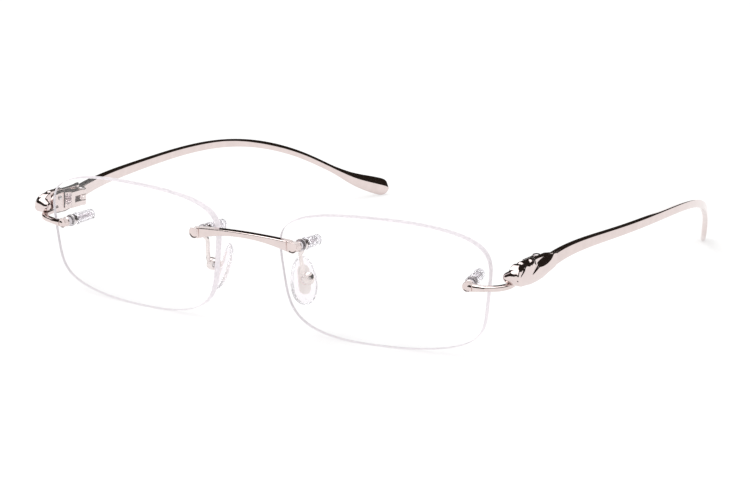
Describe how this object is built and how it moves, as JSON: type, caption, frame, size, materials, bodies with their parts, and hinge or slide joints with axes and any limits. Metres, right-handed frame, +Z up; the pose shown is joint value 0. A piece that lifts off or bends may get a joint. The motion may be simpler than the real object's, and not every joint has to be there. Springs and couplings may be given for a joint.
{
  "type": "rimless eyeglasses",
  "caption": "Rimless eyeglasses with drilled rounded-rectangle lenses on screwed posts, an arched metal bridge, rocking nose pads and folding metal temples with flat ends.",
  "frame": {"origin": "on the ground under the middle of the outline, half way between the temples and half way from the bridge's front to the temples' ends", "axes": "+Z up, +Y from the lenses towards the temples' ends, +X towards the wearer's left temple; the glasses stand on the lenses' lower edges and the temples' ends"},
  "size_m": [0.147, 0.1594, 0.0321],
  "materials": {
    "lens": "clear polished optical resin",
    "frame": "polished, pale silver with a warm tint",
    "pad_metal": "polished, pale silver with a warm tint",
    "fixing": "bright machined metal",
    "cap": "clear",
    "bushing": "clear",
    "pad": "clear soft silicone"
  },
  "bodies": {
    "front": {"left_lens": "lens", "right_lens": "lens", "bridge": "frame", "left_end_piece": "frame", "right_end_piece": "frame", "left_ornament": "frame", "right_ornament": "frame", "ornament_rivets": "fixing", "lens_studs": "fixing", "lens_bushings": "bushing", "lens_washers": "fixing", "lens_nuts": "fixing", "stud_caps": "cap", "left_pad_arm": "pad_metal", "right_pad_arm": "pad_metal", "left_pad_box": "pad_metal", "right_pad_box": "pad_metal", "pad_screws": "fixing", "left_front_hinge": "frame", "right_front_hinge": "frame", "left_hinge_screw": "fixing", "right_hinge_screw": "fixing"},
    "left_temple": {"left_temple": "frame", "left_temple_hinge": "frame"},
    "right_temple": {"right_temple": "frame", "right_temple_hinge": "frame"},
    "left_pad": {"left_nose_pad": "pad", "left_pad_insert": "pad_metal"},
    "right_pad": {"right_nose_pad": "pad", "right_pad_insert": "pad_metal"}
  },
  "joints": [
    {"name": "left_temple_fold", "type": "hinge", "parent": "front", "child": "left_temple", "pos_m": [0.0668, -0.05242, 0.0209], "axis": [0, 0, 1], "range_deg": [0, 90]},
    {"name": "right_temple_fold", "type": "hinge", "parent": "front", "child": "right_temple", "pos_m": [-0.0668, -0.05242, 0.0209], "axis": [0, 0, -1], "range_deg": [0, 85]},
    {"name": "left_pad_rock", "type": "hinge", "parent": "front", "child": "left_pad", "pos_m": [0.01357, -0.06967, 0.01352], "axis": [-0.5324, -0.846, 0.0307], "range_deg": [-10, 10]},
    {"name": "right_pad_rock", "type": "hinge", "parent": "front", "child": "right_pad", "pos_m": [-0.01357, -0.06967, 0.01352], "axis": [-0.5324, 0.846, -0.0307], "range_deg": [-10, 10]}
  ]
}
